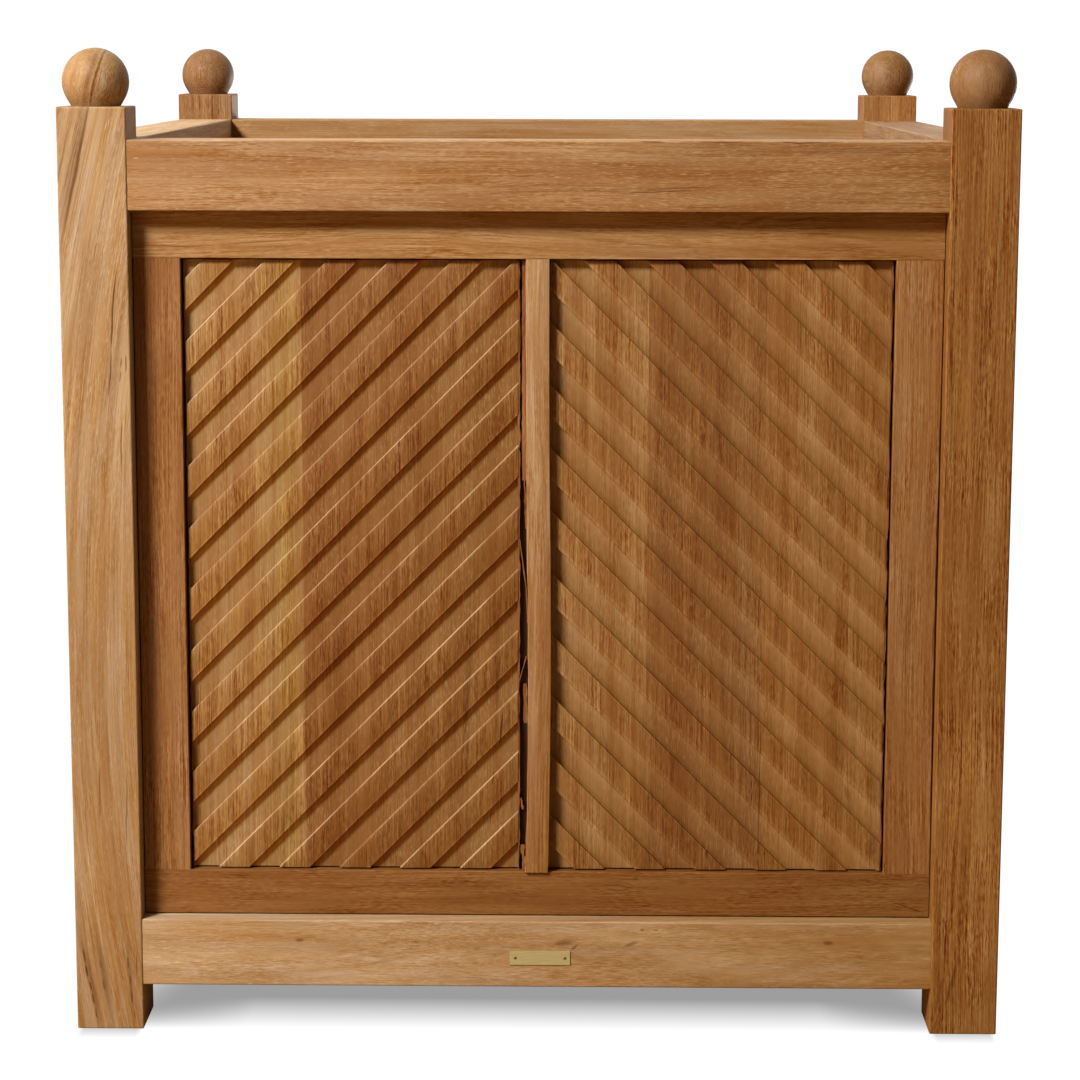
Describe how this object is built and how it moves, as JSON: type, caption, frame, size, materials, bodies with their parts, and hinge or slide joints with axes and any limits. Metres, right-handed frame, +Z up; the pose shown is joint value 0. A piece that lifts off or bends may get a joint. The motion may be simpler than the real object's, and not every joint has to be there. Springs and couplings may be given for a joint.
{
  "type": "versailles planter",
  "caption": "Square hardwood Versailles planter with ball finials, mortised rails, chevron-milled framed panels on all sides and a slatted floor.",
  "frame": {"origin": "on the ground, below the middle of the planter", "axes": "+Z up; the front, which carries the small brass plate, faces -Y; +X is to the right as seen from the front"},
  "size_m": [0.8, 0.8004, 0.8455],
  "materials": {
    "post_teak": "oiled, light honey brown",
    "rail_teak": "oiled",
    "frame_teak": "oiled",
    "panel_teak": "milled and oiled",
    "base_teak": "sawn and planed",
    "screw_steel": "stainless",
    "plate_brass": "satin, bare"
  },
  "bodies": {
    "root": {"front_left_post": "post_teak", "front_left_finial": "post_teak", "front_right_post": "post_teak", "front_right_finial": "post_teak", "back_right_post": "post_teak", "back_right_finial": "post_teak", "back_left_post": "post_teak", "back_left_finial": "post_teak", "front_top_rail": "rail_teak", "front_bottom_rail": "rail_teak", "front_frame_head": "frame_teak", "front_frame_sill": "frame_teak", "front_frame_left_stile": "frame_teak", "front_frame_right_stile": "frame_teak", "front_frame_muntin": "frame_teak", "front_left_panel": "panel_teak", "front_right_panel": "panel_teak", "right_side_top_rail": "rail_teak", "right_side_bottom_rail": "rail_teak", "right_side_frame_head": "frame_teak", "right_side_frame_sill": "frame_teak", "right_side_frame_left_stile": "frame_teak", "right_side_frame_right_stile": "frame_teak", "right_side_frame_muntin": "frame_teak", "right_side_left_panel": "panel_teak", "right_side_right_panel": "panel_teak", "back_top_rail": "rail_teak", "back_bottom_rail": "rail_teak", "back_frame_head": "frame_teak", "back_frame_sill": "frame_teak", "back_frame_left_stile": "frame_teak", "back_frame_right_stile": "frame_teak", "back_frame_muntin": "frame_teak", "back_left_panel": "panel_teak", "back_right_panel": "panel_teak", "left_side_top_rail": "rail_teak", "left_side_bottom_rail": "rail_teak", "left_side_frame_head": "frame_teak", "left_side_frame_sill": "frame_teak", "left_side_frame_left_stile": "frame_teak", "left_side_frame_right_stile": "frame_teak", "left_side_frame_muntin": "frame_teak", "left_side_left_panel": "panel_teak", "left_side_right_panel": "panel_teak", "left_bearer": "base_teak", "middle_bearer": "base_teak", "right_bearer": "base_teak", "floor_slat_1": "base_teak", "floor_slat_2": "base_teak", "floor_slat_3": "base_teak", "floor_slat_4": "base_teak", "floor_slat_5": "base_teak", "floor_slat_6": "base_teak", "floor_slat_7": "base_teak", "floor_slat_8": "base_teak", "finial_dowels": "base_teak", "bearer_screws": "screw_steel", "slat_screws": "screw_steel", "brass_plate": "plate_brass", "plate_pins": "plate_brass"}
  },
  "joints": []
}
